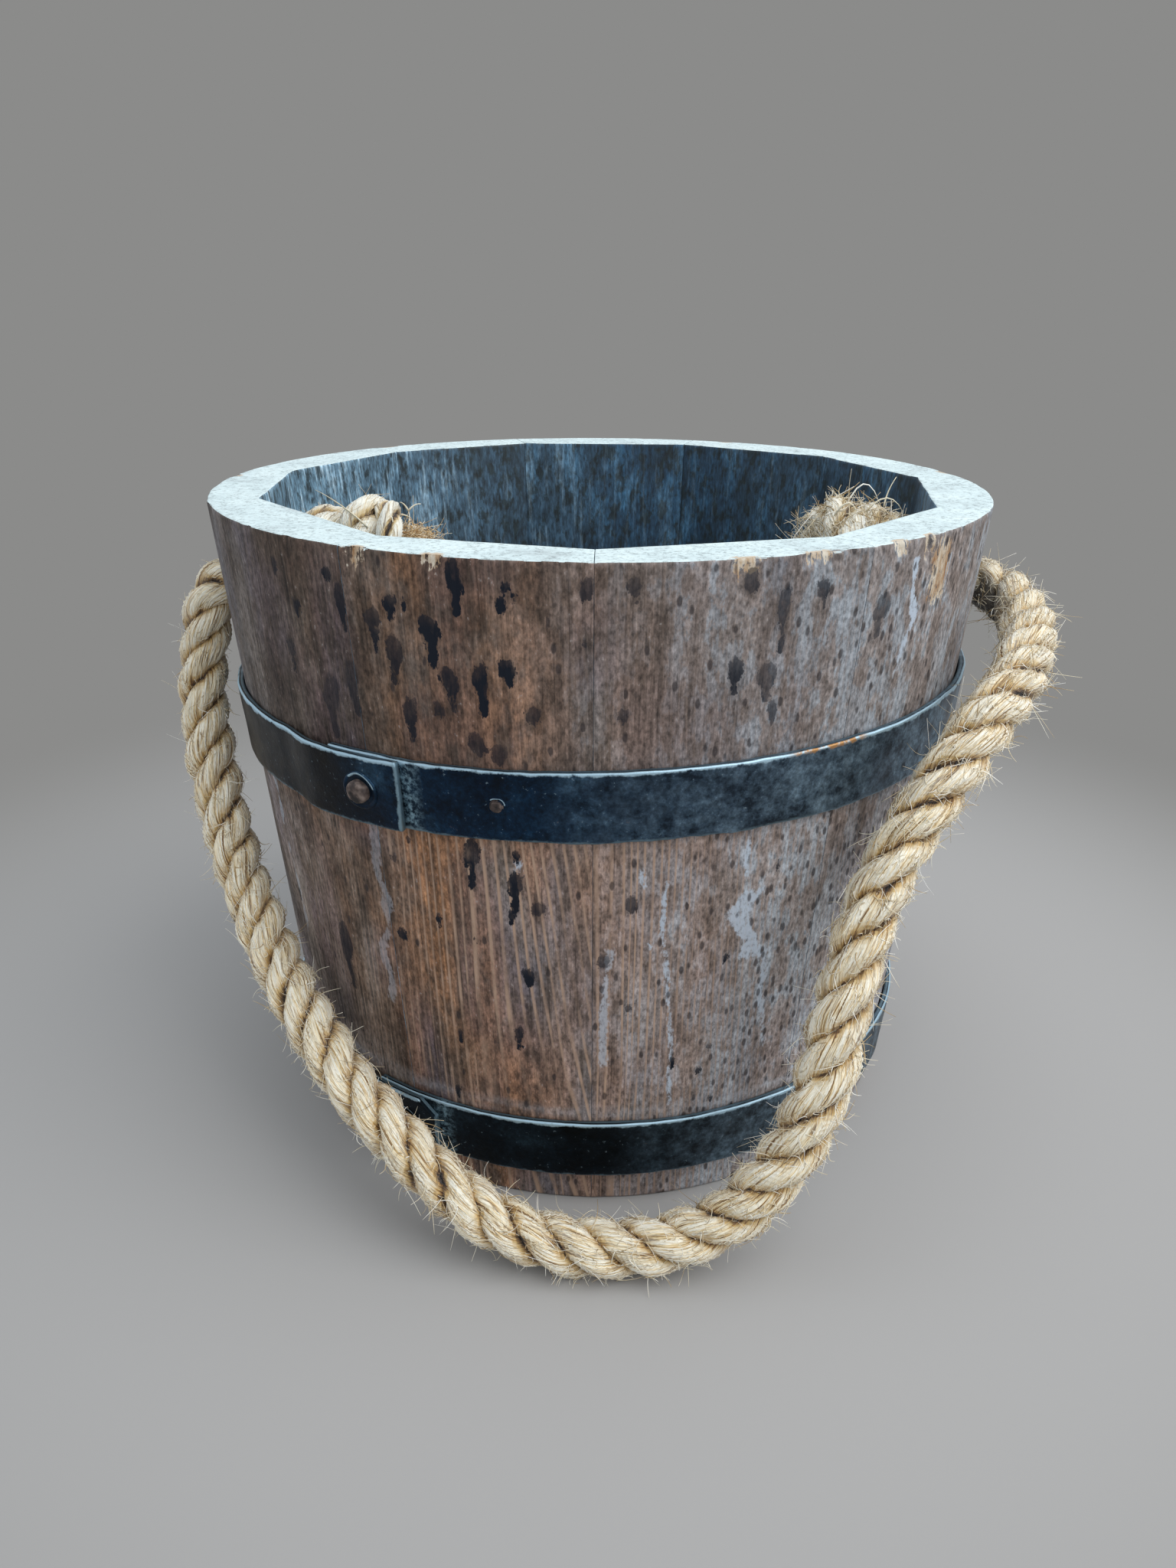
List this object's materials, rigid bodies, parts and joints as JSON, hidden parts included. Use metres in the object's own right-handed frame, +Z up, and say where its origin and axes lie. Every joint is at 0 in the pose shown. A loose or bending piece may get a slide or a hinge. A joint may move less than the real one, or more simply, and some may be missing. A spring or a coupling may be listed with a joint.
{
  "type": "well bucket",
  "caption": "Tapered wooden stave bucket with riveted iron hoops and a rope handle knotted through its sides, for drawing and carrying water.",
  "frame": {"origin": "centre of the base, on the surface the bucket stands on", "axes": "+Z up along the bucket's axis, -Y towards the side where the rope lies, +X to the right of that side"},
  "size_m": [0.4152, 0.3877, 0.297],
  "materials": {
    "stave_wood": "weathered, stained",
    "bottom_wood": "water-stained",
    "hoop_iron": "black, worn edges",
    "rivet_iron": "rusty",
    "rope": "laid manila, fuzzy",
    "rope_fray": "loose fibre"
  },
  "bodies": {
    "bucket": {"stave_01": "stave_wood", "stave_02": "stave_wood", "stave_03": "stave_wood", "stave_04": "stave_wood", "stave_05": "stave_wood", "stave_06": "stave_wood", "stave_07": "stave_wood", "stave_08": "stave_wood", "stave_09": "stave_wood", "stave_10": "stave_wood", "stave_11": "stave_wood", "bottom_board_left": "bottom_wood", "bottom_board_middle": "bottom_wood", "bottom_board_right": "bottom_wood", "upper_hoop": "hoop_iron", "lower_hoop": "hoop_iron", "upper_rivet": "rivet_iron", "lower_rivet": "rivet_iron", "hoop_nail": "rivet_iron"},
    "handle": {"rope_handle": "rope", "left_knot": "rope", "right_knot": "rope", "left_frayed_end": "rope_fray", "right_frayed_end": "rope_fray"}
  },
  "joints": [
    {"name": "handle_swing", "type": "hinge", "parent": "bucket", "child": "handle", "pos_m": [0, -0.004, 0.252], "axis": [-1, 0, 0], "range_deg": [0, 225]}
  ]
}
